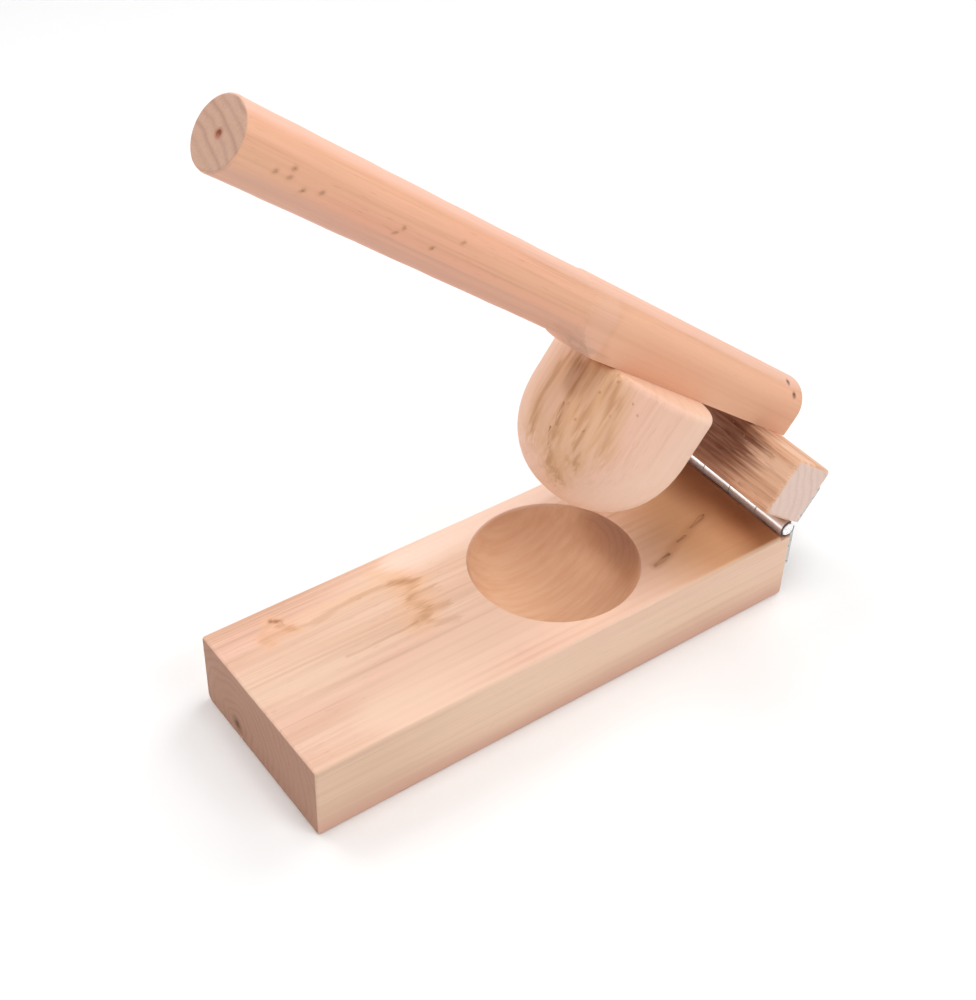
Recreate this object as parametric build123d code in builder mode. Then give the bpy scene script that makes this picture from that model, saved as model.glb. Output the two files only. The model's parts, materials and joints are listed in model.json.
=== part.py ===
from build123d import *
from math import cos, radians, sin, sqrt
import os

# Wooden lever press for shaping dough or fruit into cups.
# A board with a round bowl lies on the table. A lever is hinged to its rear end.
# The lever is a handle glued on a crossbar and on a domed plunger that dips into the bowl.
# Origin: centre of the board's bottom face. +X towards the hinge, +Z up. Millimetres.
# The lever is drawn raised, as it stands in use between two pressings.

# Board
base_length = 248.0
base_width = 90.0
base_thickness = 37.0
base_ease = 2.0

# Bowl in the board
bowl_from_pivot = 97.5
bowl_diameter = 77.0
bowl_floor = 5.4
bowl_rim_ease = 0.8

# Hinge
leaf_thickness = 2.0
leaf_reach = 24.0
leaf_corner = 2.5
hinge_inset = 1.0
knuckle_count = 5
knuckle_radius = 4.0
knuckle_gap = 0.4
knuckle_relief = 0.5
pin_radius = 2.0
pin_clearance = 0.05
pin_head_radius = 3.1
pin_head_height = 0.8
pin_head_ease = 0.4
pivot_above_base = 2.1

# Hinge screws
screw_length = 18.0
screw_radius = 1.9
screw_tip = 5.0
screw_head_radius = 3.6
screw_clearance = 0.1
screw_from_end = 14.0
screw_row_near = 12.0
screw_row_far = 18.0
screw_slot_width = 0.8
screw_slot_span = 4.0
screw_slot_depth = 0.9
pilot_spare = 0.5

# Lever
open_angle = 37.2
crossbar_above_pivot = 3.6
crossbar_height = 28.1
crossbar_depth = 27.0
crossbar_ease = 2.0

# Plunger
plunger_side_gap = 1.5
plunger_tip_gap = 3.0
plunger_wall = 22.4
plunger_rim = 3.6
dome_fullness = 2.2

# Handle
grip_diameter = 26.0
grip_end_ease = 1.2
handle_length = 347.0
handle_tilt = 1.5
handle_overhang = 3.0
head_proud = 0.5
head_nose = 6.5
head_spare = 0.9
head_end_ease = 2.5
flat_depth = 0.7
shoulder_length = 22.0
shoulder_lead = 5.0
shoulder_fall = 13.0
shoulder_drop = 2.7

# Hidden dowels
plunger_dowel_radius = 4.0
plunger_dowel_half = 15.0
plunger_dowel_pitch = 26.0
crossbar_dowel_radius = 3.0
crossbar_dowel_half = 12.0
crossbar_dowel_pitch = 13.0
dowel_chamfer = 0.8
glue_space = 0.5

# Places that follow from the sizes
base_rear = base_length / 2
pivot_x = base_rear + leaf_thickness - knuckle_radius
pivot_z = base_thickness + pivot_above_base
relief = knuckle_radius + knuckle_relief
leaf_seat = knuckle_radius - leaf_thickness
flat_height = crossbar_above_pivot + crossbar_height
crossbar_length = base_width
bowl_x = pivot_x - bowl_from_pivot
bowl_depth = base_thickness - bowl_floor
bowl_radius = bowl_diameter / 2
bowl_sphere = (bowl_radius**2 + bowl_depth**2) / (2 * bowl_depth)
plunger_radius = bowl_radius - plunger_side_gap
plunger_height = flat_height + pivot_z - bowl_floor - plunger_tip_gap
dome_height = plunger_height - plunger_wall
grip_radius = grip_diameter / 2
head_half = grip_radius + head_proud
head_drop = head_half + head_spare
blank_radius = sqrt(head_half**2 + head_drop**2) + 1
handle_rear = bowl_from_pivot + leaf_seat + handle_overhang
handle_front = handle_rear - handle_length
shoulder_end = -(plunger_radius + head_nose)
shoulder_start = shoulder_end - shoulder_length
hinge_length = base_width - 2 * hinge_inset
knuckle_length = hinge_length / knuckle_count
hinge_half = (hinge_length - knuckle_gap) / 2
screw_head_depth = screw_head_radius - screw_radius
pilot_depth = screw_length - leaf_thickness + pilot_spare
screw_side = hinge_length / 2 - screw_from_end
crossbar_middle = leaf_seat - crossbar_depth / 2

# Frames. Both start at the hinge axis, x towards the rear. The lever's one is tipped open.
base_frame = Plane(origin=(pivot_x, 0, pivot_z), x_dir=(1, 0, 0), z_dir=(0, 0, 1))


def tipped(origin, angle):
    """A frame at a point, its x axis dropping towards the rear by an angle."""
    turn = radians(angle)
    return Plane(origin=origin, x_dir=(cos(turn), 0, -sin(turn)), z_dir=(sin(turn), 0, cos(turn)))


lever = tipped((pivot_x, 0, pivot_z), open_angle)
axis_over_flat = head_half - flat_depth
handle_frame = tipped(
    lever.from_local_coords((-bowl_from_pivot, 0, flat_height + axis_over_flat)), open_angle + handle_tilt
)


def side_of(frame, x=0, z=0):
    """The lengthwise upright plane of a frame, drawn with x to the rear and y up."""
    return Plane(origin=frame.from_local_coords((x, 0, z)), x_dir=frame.x_dir, z_dir=-frame.y_dir)


def end_of(frame, x):
    """The plane across a frame at a distance x, drawn with x across and y up."""
    return Plane(origin=frame.from_local_coords((x, 0, 0)), x_dir=frame.y_dir, z_dir=frame.x_dir)


def across(frame, y):
    """The plane square to the hinge axis at a distance y along it."""
    return Plane(origin=frame.from_local_coords((0, y, 0)), x_dir=frame.x_dir, z_dir=frame.y_dir)


os.makedirs("parts", exist_ok=True)

# Screw places on a leaf: distance along the hinge and distance out from its axis
screw_spots = [(-screw_side, screw_row_near), (0, screw_row_far), (screw_side, screw_row_near)]

# Dowel places on the lever's flat plane
plunger_dowel_spots = {
    "front": -bowl_from_pivot - plunger_dowel_pitch / 2,
    "rear": -bowl_from_pivot + plunger_dowel_pitch / 2,
}
crossbar_dowel_spots = {"left": crossbar_dowel_pitch / 2, "right": -crossbar_dowel_pitch / 2}

# Board: eased all round, a bowl sunk in its top, and a step along the rear edge for the knuckles
with BuildPart() as base_board:
    with BuildSketch():
        Rectangle(base_length, base_width)
    extrude(amount=base_thickness)
    fillet(base_board.edges(), base_ease)
    with Locations((bowl_x, 0, bowl_floor + bowl_sphere)):
        Sphere(bowl_sphere, mode=Mode.SUBTRACT)
    fillet(base_board.edges().filter_by(GeomType.CIRCLE).group_by(Axis.Z)[-1], bowl_rim_ease)
    with BuildSketch(across(base_frame, 0)):
        with Locations(((leaf_seat - relief) / 2, 0)):
            Rectangle(leaf_seat + relief, 2 * relief)
    extrude(amount=base_width, both=True, mode=Mode.SUBTRACT)
    with BuildSketch(end_of(base_frame, leaf_seat)):
        with Locations([(y, -out) for y, out in screw_spots]):
            Circle(screw_radius)
    extrude(amount=-pilot_depth, mode=Mode.SUBTRACT)
base_board.part.label = "base_board"
export_step(base_board.part, "parts/base_board.step")

# Crossbar: square stick across the lever, stepped along its lower rear edge for the knuckles
with BuildPart() as crossbar:
    with BuildSketch(lever.offset(crossbar_above_pivot)):
        with Locations((crossbar_middle, 0)):
            Rectangle(crossbar_depth, crossbar_length)
    extrude(amount=crossbar_height)
    fillet(crossbar.edges(), crossbar_ease)
    with BuildSketch(across(lever, 0)):
        with Locations(((leaf_seat - relief) / 2, 0)):
            Rectangle(leaf_seat + relief, 2 * relief)
    extrude(amount=crossbar_length, both=True, mode=Mode.SUBTRACT)
    with BuildSketch(end_of(lever, leaf_seat)):
        with Locations([(y, out) for y, out in screw_spots]):
            Circle(screw_radius)
    extrude(amount=-pilot_depth, mode=Mode.SUBTRACT)
    with BuildSketch(lever.offset(flat_height)):
        with Locations([(crossbar_middle, y) for y in crossbar_dowel_spots.values()]):
            Circle(crossbar_dowel_radius)
    extrude(amount=-crossbar_dowel_half - glue_space, mode=Mode.SUBTRACT)
crossbar.part.label = "crossbar"
export_step(crossbar.part, "parts/crossbar.step")


def dome_point(share):
    """A point of the dome's outline at a share of its height below the straight wall."""
    width = (1 - share**dome_fullness) ** (1 / dome_fullness)
    return (plunger_radius * width, -plunger_wall - dome_height * share)


# Plunger: turned, with a rounded top rim, a straight wall and a full dome
with BuildPart() as plunger:
    with BuildSketch(side_of(lever, -bowl_from_pivot, flat_height)):
        with BuildLine():
            top = Line((0, 0), (plunger_radius - plunger_rim, 0))
            rim = CenterArc((plunger_radius - plunger_rim, -plunger_rim), plunger_rim, 90, -90)
            Line(rim @ 1, (plunger_radius, -plunger_wall))
            dome = Spline(
                [dome_point(share) for share in (0, 0.2, 0.4, 0.6, 0.75, 0.88, 0.96, 1)],
                tangents=[(0, -1), (-1, 0)],
            )
            Line(dome @ 1, top @ 0)
        make_face()
    revolve(axis=Axis(lever.from_local_coords((-bowl_from_pivot, 0, 0)), lever.z_dir))
    with BuildSketch(lever.offset(flat_height)):
        with Locations([(x, 0) for x in plunger_dowel_spots.values()]):
            Circle(plunger_dowel_radius)
    extrude(amount=-plunger_dowel_half - glue_space, mode=Mode.SUBTRACT)
plunger.part.label = "plunger"
export_step(plunger.part, "parts/plunger.step")

# Handle: a square stick with a rounded back. The grip is turned round, its shoulder runs out
# on the square head, and the head is planed flat underneath for the plunger and the crossbar.
with BuildPart() as handle:
    with BuildSketch(side_of(handle_frame)):
        with BuildLine():
            tip = Line((handle_front, 0), (handle_front, grip_radius))
            Line(tip @ 1, (shoulder_start, grip_radius))
            Bezier(
                (shoulder_start, grip_radius),
                (shoulder_start + shoulder_lead, grip_radius),
                (shoulder_end - shoulder_fall, blank_radius - shoulder_drop),
                (shoulder_end, blank_radius),
            )
            Polyline((shoulder_end, blank_radius), (handle_rear, blank_radius), (handle_rear, 0), tip @ 0)
        make_face()
    revolve(axis=Axis(handle_frame.origin, handle_frame.x_dir))
    fillet(handle.edges().sort_by(Axis(handle_frame.origin, handle_frame.x_dir))[0], grip_end_ease)
    with BuildSketch(end_of(handle_frame, handle_front)):
        Circle(head_half)
        with Locations((0, -head_drop / 2)):
            Rectangle(2 * head_half, head_drop)
    extrude(amount=handle_length, mode=Mode.INTERSECT)
    split(bisect_by=lever.offset(flat_height), keep=Keep.TOP)
    fillet(handle.faces().sort_by(Axis(handle_frame.origin, handle_frame.x_dir))[-1].edges(), head_end_ease)
    with BuildSketch(lever.offset(flat_height)):
        with Locations([(x, 0) for x in plunger_dowel_spots.values()]):
            Circle(plunger_dowel_radius)
    extrude(amount=plunger_dowel_half + glue_space, mode=Mode.SUBTRACT)
    with BuildSketch(lever.offset(flat_height)):
        with Locations([(crossbar_middle, y) for y in crossbar_dowel_spots.values()]):
            Circle(crossbar_dowel_radius)
    extrude(amount=crossbar_dowel_half + glue_space, mode=Mode.SUBTRACT)
handle.part.label = "handle"
export_step(handle.part, "parts/handle.step")


def dowel(x, y, radius, half):
    """A dowel standing half in the handle and half in the piece under it."""
    with BuildPart() as pin:
        with BuildSketch(lever.offset(flat_height)):
            with Locations((x, y)):
                Circle(radius)
        extrude(amount=half, both=True)
        chamfer(pin.edges().filter_by(GeomType.CIRCLE), dowel_chamfer)
    return pin


for place, x in plunger_dowel_spots.items():
    plunger_dowel = dowel(x, 0, plunger_dowel_radius, plunger_dowel_half)
    plunger_dowel.part.label = f"plunger_dowel_{place}"
    export_step(plunger_dowel.part, f"parts/plunger_dowel_{place}.step")

for place, y in crossbar_dowel_spots.items():
    crossbar_dowel = dowel(crossbar_middle, y, crossbar_dowel_radius, crossbar_dowel_half)
    crossbar_dowel.part.label = f"crossbar_dowel_{place}"
    export_step(crossbar_dowel.part, f"parts/crossbar_dowel_{place}.step")


def knuckle_start(slot):
    """Where a knuckle begins along the hinge, counted from the -Y end."""
    return slot * knuckle_length - hinge_length / 2


def hinge_leaf(frame, up, slots, bore_radius):
    """A leaf: screwed plate, rolled knuckles in its own slots, and room for the other leaf's."""
    plate_face = end_of(frame, leaf_seat)
    with BuildPart() as leaf:
        with BuildSketch(plate_face) as plate:
            with Locations((0, up * leaf_reach / 2)):
                Rectangle(2 * hinge_half, leaf_reach)
            fillet(plate.vertices().group_by(Axis.Y)[-1 if up > 0 else 0], leaf_corner)
        extrude(amount=leaf_thickness)
        for slot in range(knuckle_count):
            if slot in slots:
                with BuildSketch(across(frame, knuckle_start(slot) + knuckle_gap / 2)):
                    Circle(knuckle_radius)
                extrude(amount=knuckle_length - knuckle_gap)
            else:
                with BuildSketch(across(frame, knuckle_start(slot) - knuckle_gap / 2)):
                    Rectangle(4 * knuckle_radius, 2 * (knuckle_radius + knuckle_gap))
                extrude(amount=knuckle_length + knuckle_gap, mode=Mode.SUBTRACT)
        with BuildSketch(across(frame, 0)):
            Circle(bore_radius)
        extrude(amount=hinge_length, both=True, mode=Mode.SUBTRACT)
        with Locations(plate_face.offset(leaf_thickness)):
            with Locations([(y, up * out) for y, out in screw_spots]):
                CounterSinkHole(
                    screw_radius + screw_clearance, screw_head_radius + screw_clearance, counter_sink_angle=90
                )
    return leaf


outer_slots = range(0, knuckle_count, 2)
inner_slots = range(1, knuckle_count, 2)

# The lower leaf holds the pin, so the lever's knuckles turn on it
hinge_base_leaf = hinge_leaf(base_frame, -1, outer_slots, pin_radius)
hinge_base_leaf.part.label = "hinge_base_leaf"
export_step(hinge_base_leaf.part, "parts/hinge_base_leaf.step")

hinge_lever_leaf = hinge_leaf(lever, 1, inner_slots, pin_radius + pin_clearance)
hinge_lever_leaf.part.label = "hinge_lever_leaf"
export_step(hinge_lever_leaf.part, "parts/hinge_lever_leaf.step")

# Pin: riveted over at both ends of the outer knuckles
with BuildPart() as hinge_pin:
    with BuildSketch(across(base_frame, 0)):
        Circle(pin_radius)
    extrude(amount=hinge_half, both=True)
    for end in (-1, 1):
        with BuildSketch(across(base_frame, end * hinge_half)):
            Circle(pin_head_radius)
        extrude(amount=end * pin_head_height)
    fillet(hinge_pin.edges().group_by(Axis.Y)[0] + hinge_pin.edges().group_by(Axis.Y)[-1], pin_head_ease)
hinge_pin.part.label = "hinge_pin"
export_step(hinge_pin.part, "parts/hinge_pin.step")


def wood_screw(frame, up, spot):
    """A countersunk cross-slot wood screw driven through a leaf, its head flush with the plate."""
    y, out = spot
    seat = Plane(
        origin=frame.from_local_coords((knuckle_radius, y, up * out)), x_dir=frame.y_dir, z_dir=frame.x_dir
    )
    with BuildPart() as screw:
        with BuildSketch(Plane(origin=seat.origin, x_dir=seat.x_dir, z_dir=-seat.y_dir)):
            with BuildLine():
                Polyline(
                    (0, 0),
                    (screw_head_radius, 0),
                    (screw_radius, -screw_head_depth),
                    (screw_radius, screw_tip - screw_length),
                    (0, -screw_length),
                    close=True,
                )
            make_face()
        revolve(axis=Axis(seat.origin, seat.z_dir))
        with BuildSketch(seat):
            Rectangle(screw_slot_span, screw_slot_width)
            Rectangle(screw_slot_width, screw_slot_span)
        extrude(amount=-screw_slot_depth, mode=Mode.SUBTRACT)
    return screw


for leaf_name, frame, up in (("base", base_frame, -1), ("lever", lever, 1)):
    for number, spot in enumerate(screw_spots, start=1):
        leaf_screw = wood_screw(frame, up, spot)
        leaf_screw.part.label = f"{leaf_name}_leaf_screw_{number}"
        export_step(leaf_screw.part, f"parts/{leaf_name}_leaf_screw_{number}.step")
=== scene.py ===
import json
from math import atan2, cos, degrees, pi, radians, sin, sqrt
from types import SimpleNamespace

import bmesh
import bpy
from mathutils import Matrix, Vector


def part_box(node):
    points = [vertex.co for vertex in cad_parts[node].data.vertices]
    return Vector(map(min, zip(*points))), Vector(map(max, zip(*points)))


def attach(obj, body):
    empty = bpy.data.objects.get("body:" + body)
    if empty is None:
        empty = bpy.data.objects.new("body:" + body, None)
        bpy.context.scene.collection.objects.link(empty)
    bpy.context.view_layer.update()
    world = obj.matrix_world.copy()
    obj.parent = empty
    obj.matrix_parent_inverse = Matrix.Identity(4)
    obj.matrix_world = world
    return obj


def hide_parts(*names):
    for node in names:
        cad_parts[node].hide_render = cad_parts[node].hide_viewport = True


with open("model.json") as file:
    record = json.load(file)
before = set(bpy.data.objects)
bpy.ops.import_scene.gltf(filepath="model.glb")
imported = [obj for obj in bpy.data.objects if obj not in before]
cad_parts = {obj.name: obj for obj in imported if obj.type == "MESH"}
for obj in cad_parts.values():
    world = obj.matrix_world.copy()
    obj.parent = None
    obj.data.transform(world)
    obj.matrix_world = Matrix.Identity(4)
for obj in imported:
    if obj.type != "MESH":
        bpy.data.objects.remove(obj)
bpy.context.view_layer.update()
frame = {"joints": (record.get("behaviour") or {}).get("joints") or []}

# Pieces are modelled in millimetres, each in its own directions, and then settled in the frame in metres
MM = 0.001

# Board, from the frame
BOARD_LOW, BOARD_HIGH = (Vector(corner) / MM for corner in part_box("base_board"))
BOARD_TOP = BOARD_HIGH.z
BOARD_UNEVENNESS = 0.2
BOARD_UNDER_EASE = 4.0
BOARD_LONG_EASE = 1.5
BOARD_END_EASE = 1.4
PIVOT = Vector(frame["joints"][0]["pos_m"])

# Bowl
BOWL_FROM_PIVOT = 97.5
BOWL_RADIUS = 38.0
BOWL_DEPTH = 31.6
BOWL_RIM = 0.5

# Lever
OPEN_ANGLE = radians(37.2)
FLAT_HEIGHT = 31.7
CROSSBAR_DEPTH = 27.0
CROSSBAR_HEIGHT = 28.1
CROSSBAR_EASE = 2.0
CROSSBAR_UNEVENNESS = 0.15
SAW_MARKS = 15
PLUNGER_RADIUS = 37.0
PLUNGER_RIM = 3.6
PLUNGER_WALL = 22.4
DOME_HEIGHT = 40.0
DOME_FULLNESS = 2.2

# Handle
HANDLE_TILT = radians(1.5)
HANDLE_FRONT = -244.5
HANDLE_REAR = 102.5
GRIP_RADIUS = 13.0
GRIP_END_EASE = 1.2
GRIP_RINGS = 16
HEAD_HALF = 13.5
HEAD_DROP = 14.4
HEAD_END_EASE = 2.5
AXIS_OVER_FLAT = 12.8
BLANK_RADIUS = 20.8
SHOULDER_START = -65.5
SHOULDER_END = -43.5

# Hinge
LEAF_THICKNESS = 2.0
LEAF_REACH = 24.0
LEAF_CORNER = 2.5
LEAF_SEAT = 2.0
HINGE_LENGTH = 88.0
KNUCKLE_COUNT = 5
KNUCKLE_RADIUS = 4.0
KNUCKLE_GAP = 0.4
KNUCKLE_RELIEF = 4.5
PIN_RADIUS = 1.95
PIN_HEAD_RADIUS = 3.1
PIN_HEAD_HEIGHT = 0.8
SCREW_RADIUS = 1.9
SCREW_HEAD_RADIUS = 3.6
SCREW_LENGTH = 18.0
THREAD_CORE = 1.45
THREAD_PITCH = 1.3
SCREW_SPOTS = [(-30.0, 12.0), (0.0, 18.0), (30.0, 12.0)]

# Dowels: place on the lever's flat, radius, half of the length
PLUNGER_DOWELS = {"plunger_dowel_front": (-110.5, 0.0), "plunger_dowel_rear": (-84.5, 0.0)}
CROSSBAR_DOWELS = {"crossbar_dowel_left": (-11.5, 6.5), "crossbar_dowel_right": (-11.5, -6.5)}
PLUNGER_DOWEL_SIZE = (4.0, 15.0)
CROSSBAR_DOWEL_SIZE = (3.0, 12.0)
DOWEL_CHAMFER = 0.8
GLUE_SPACE = 0.5

def shifted(*way):
    """The directions of the frame, shifted by a way in millimetres."""
    return Matrix.Translation(Vector(way) * MM)


# The directions that pieces are modelled in. The board itself is modelled in those of the frame
TOP = shifted(0, 0, BOARD_TOP)
BASE = Matrix.Translation(PIVOT)
LEVER = BASE @ Matrix.Rotation(OPEN_ANGLE, 4, "Y")
HANDLE = LEVER @ shifted(-BOWL_FROM_PIVOT, 0, FLAT_HEIGHT + AXIS_OVER_FLAT)
HANDLE = HANDLE @ Matrix.Rotation(HANDLE_TILT, 4, "Y")
BOWL_X = PIVOT.x / MM - BOWL_FROM_PIVOT

# Marks of the wood and places of painted light and shade, where the photograph shows them: on the board's top
# as (x, y)
PALE_PART = [(-80, -34), (-20, -22), (60, -36)]
REAR_PAINTED_SHADE = [(112, 50), (112, -28)]
REAR_EDGE_PAINTED_SHADE = [(112, 50), (112, -50)]
FRONT_EDGE = [(-124, -60), (-124, 60)]
FAR_STRIP = [(-32, 36), (60, 42)]
BEHIND_LONG_LINE = [(-92, 30), (-42, 30)]
KNOT_TIP = [(-96.3, 36.2), (-99.5, 34.0), (-102.5, 29.8), (-103.1, 24.4)]
KNOT_UPPER = [(-96.3, 36.2), (-94.5, 35.0), (-93.0, 30.9), (-90.4, 27.3)]
KNOT_LOWER = [(-104.4, 27.6), (-99.2, 28.4), (-94.8, 27.9), (-90.4, 27.3)]
LONG_LINE = [
    (-90.4, 27.3), (-81.9, 25.3), (-74.8, 26.4), (-67.5, 27.5), (-59.0, 27.8), (-50.7, 27.8), (-41.2, 26.9),
    (-36.5, 24.9),
]
FLAME = [(-36.5, 24.9), (-40.4, 14.0), (-39.7, 8.7), (-41.9, 3.4), (-45.9, 2.0)]
FLAME_HEAD = [(-42.0, 27.0), (-34.0, 24.0)]
FLAME_FOOT = [(-45.9, 2.0), (-53.2, 1.0), (-59.9, 0.9), (-69.8, 0.7), (-80.7, 1.2)]
FLAME_ARMS = [
    [(-39.9, 6.4), (-35.7, 4.7), (-30.2, 3.6)],
    [(-43.6, 2.9), (-36.7, -4.2), (-29.2, -5.7)],
    [(-40.4, 15.0), (-34.0, 15.6), (-27.0, 15.0)],
]
FLAME_TOP = [(-37.6, 22.0), (-39.5, 32.0), (-44.3, 37.8)]
CRACK = [
    (58.9, -27.4), (63.0, -27.0), (68.6, -25.2), (77.7, -20.8), (82.5, -19.8), (88.3, -17.2), (95.5, -15.2),
    (98.7, -13.8), (106.3, -12.0),
]
# The crack is broken into pieces: first point, last point, width, depth
CRACK_PIECES = [(0, 2, 0.4, 0.6), (3, 4, 0.25, 0.3), (5, 7, 0.25, 0.3)]
TOP_DENTS = [(-58.5, 26.9), (-44.2, 10.6), (-41.2, 14.8), (60.2, -29.5)]
# On the board's front end as (y, z)
END_KNOT = (18.6, 7.5)
# On the plunger, in the lever's directions
PLUNGER_CRACKS = [
    [(-134.1, -4.2, 9.0), (-133.8, -5.2, 4.5), (-133.3, -6.2, 0.0)],
    [(-132.8, -4.0, -2.5), (-132.1, -4.9, -5.8), (-131.0, -5.8, -9.0)],
]
PLUNGER_STRIPES = [
    [(-134.5, -1.0, 26.0), (-134.2, -4.8, 10.7), (-133.0, -7.0, -0.5), (-127.1, -8.4, -14.9),
     (-120.9, -12.2, -20.5)],
    [(-133.3, -9.3, 29.0), (-132.4, -12.4, 15.7), (-131.0, -15.3, 5.0), (-125.4, -18.0, -10.3)],
    [(-130.5, -16.2, 29.2), (-127.3, -21.2, 16.5), (-123.2, -24.0, 2.0)],
    [(-133.7, 7.6, 22.0), (-133.2, 8.5, 2.9), (-131.4, 5.2, -8.3)],
]
PLUNGER_BROWN_STREAK_AND_SHADOW = [(-134.5, -1.0, 24.0), (-134.4, -3.0, 17.0)]
PLUNGER_PALE = [(-84, -37, 30), (-88, -36, 0), (-104, -26, -22)]
PLUNGER_PAINTED_SHADOW = [(-132, -8, 31.7), (-60, -8, 31.7)]
CROSSBAR_PAINTED_SHADOW = [(LEAF_SEAT - CROSSBAR_DEPTH, 40, 14), (LEAF_SEAT - CROSSBAR_DEPTH, -8, 20)]
PLUNGER_SPECKS = [
    (-129.6, -18.4, 28.5), (-124.1, -25.7, 23.6), (-121.0, -28.6, 21.6), (-130.1, -17.0, 4.1),
    (-132.3, -12.2, 5.7), (-134.0, -5.8, 10.1), (-127.0, -21.4, 14.0), (-131.5, -14.6, 21.0),
]
# On the handle, in its own directions
HANDLE_SPECKS = [
    (-222.3, -12.8, 2.3), (-222.4, -13.0, -0.9), (-228.4, -12.9, -1.1), (-215.2, -12.6, -3.0),
    (-208.5, -13.0, -0.7), (-169.7, -13.0, 0.4), (-171.5, -12.8, -2.3), (-153.6, -12.8, -1.8),
    (-140.6, -12.2, 4.5),
]
HEAD_DENTS = [(88.5, -7.1, 11.5), (92.8, -10.8, 8.0)]
HANDLE_DOT = (HANDLE_FRONT, -0.5, 0.0)
DOT_HOLE = [(1.5, -0.5), (1.1, 0.3), (0.5, 0.7), (0, 0.8)]
HANDLE_TOP_PAINTED_LIGHT = [(-250, -2, 12.8), (100, -2, 12.8)]
GRIP_UNDERSIDE_PAINTED_SHADE = [(-250, -9, -9.4), (-55, -9, -9.4)]
GRIP_EDGE = [(-244, -7.6, 10.5), (-110, -7.6, 10.5)]
HEAD_SIDE = [(-34, -13.5, -1), (95, -13.5, -1)]
SHOULDER_UNDERSIDE_PAINTED_SHADE = [(-70, -11, -12), (-52, -11, -13)]

# Floor, and lights: name, place, size and power
FLOOR_RADIUS = 1.15
LIGHT_TARGET = (0.0, 0.0, 0.06)
LIGHTS = [
    ("key_light", (0.45, -1.15, 1.15), 0.9, 8.6),
    ("overhead_light", (0.0, -0.1, 1.5), 0.6, 7.6),
    ("front_light", (-1.0, -0.5, 0.9), 0.9, 2.5),
    ("rear_light", (0.95, 0.3, 1.0), 0.8, 6.6),
    ("far_light", (-0.3, 0.9, 1.3), 0.7, 6.8),
    ("low_light", (-1.15, 0.95, 0.5), 0.9, 3.6),
]
# How bright the room is, by how far a direction points up: bright round the horizon, dim overhead
ROOM_LIGHT = {"From Min": 0.05, "From Max": 0.45, "To Min": 0.75, "To Max": 0.1}

# The photo's camera
CAMERA_PLACE = (-0.3308, -0.4209, 0.5404)
CAMERA_AZIMUTH, CAMERA_ELEVATION, CAMERA_ROLL = -37.1, 40.53, -2.07
CAMERA_LENS = 61.7


# Modelling steps


def close_edit():
    if bpy.context.object and bpy.context.object.mode == "EDIT":
        bpy.ops.object.mode_set(mode="OBJECT")


def select_none():
    close_edit()
    bpy.ops.object.select_all(action="DESELECT")


def only(piece):
    """Makes one piece the only one that is selected."""
    select_none()
    piece.select_set(True)
    bpy.context.view_layer.objects.active = piece


def select_mesh():
    bpy.ops.mesh.select_all(action="SELECT")


def edit(piece):
    only(piece)
    bpy.ops.object.mode_set(mode="EDIT")
    select_mesh()


def apply_place():
    """Puts the selected piece's place, turn and size in its mesh."""
    bpy.ops.object.transform_apply(location=True, rotation=True, scale=True)


def added(name):
    """The primitive that was just added, with its size and place put in its mesh."""
    piece = bpy.context.object
    piece.name = name
    apply_place()
    return piece


def block(name, low, high):
    """A block between two corners."""
    select_none()
    middle = [(a + b) / 2 for a, b in zip(low, high)]
    size = [b - a for a, b in zip(low, high)]
    bpy.ops.mesh.primitive_cube_add(size=1.0, location=middle, scale=size)
    return added(name)


def extrude(move):
    bpy.ops.mesh.extrude_region_move(TRANSFORM_OT_translate={"value": move})


def resize(change, centre):
    bpy.ops.transform.resize(value=change, center_override=centre)


def round_edges(width, segments):
    bpy.ops.mesh.bevel(offset=width, segments=segments, profile=0.5, affect="EDGES")


def face_outwards():
    select_mesh()
    bpy.ops.mesh.normals_make_consistent(inside=False)


def turned(name, outline, sides=96):
    """A piece turned about the z axis from rings of (radius, height). A last radius of 0 makes a point."""
    select_none()
    (radius, height), *rings = outline
    place = (0, 0, height)
    bpy.ops.mesh.primitive_circle_add(vertices=sides, radius=radius, fill_type="NGON", location=place)
    piece = added(name)
    edit(piece)
    for next_radius, next_height in rings:
        extrude((0, 0, next_height - height))
        if next_radius == 0:
            bpy.ops.mesh.merge(type="CENTER")
            break
        change = next_radius / radius
        resize((change, change, 1), (0, 0, next_height))
        radius, height = next_radius, next_height
    face_outwards()
    close_edit()
    return piece


def choose(kind, wanted):
    """Selects, on the piece that is open for editing, the elements that a test picks, and nothing else."""
    bpy.ops.mesh.select_mode(type=kind)
    bpy.ops.mesh.select_all(action="DESELECT")
    mesh = bmesh.from_edit_mesh(bpy.context.object.data)
    for element in {"VERT": mesh.verts, "EDGE": mesh.edges, "FACE": mesh.faces}[kind]:
        if wanted(element):
            element.select_set(True)
    mesh.select_flush_mode()
    bmesh.update_edit_mesh(bpy.context.object.data)


def middle_of(edge):
    return (edge.verts[0].co + edge.verts[1].co) / 2


def runs_along(edge, axis):
    run = edge.verts[1].co - edge.verts[0].co
    return abs(run[axis]) > 0.9 * run.length


def slice_at(axis, places):
    """Bisects the open piece square to an axis, at each place along it."""
    normal = Vector((0, 0, 0))
    normal[axis] = 1.0
    for place in places:
        select_mesh()
        bpy.ops.mesh.bisect(plane_co=normal * place, plane_no=normal)


def ease_sharp(width, segments, angle=60):
    """Rounds every edge of the open piece that turns by more than an angle."""
    bpy.ops.mesh.select_mode(type="EDGE")
    bpy.ops.mesh.select_all(action="DESELECT")
    bpy.ops.mesh.edges_select_sharp(sharpness=radians(angle))
    round_edges(width, segments)


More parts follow.
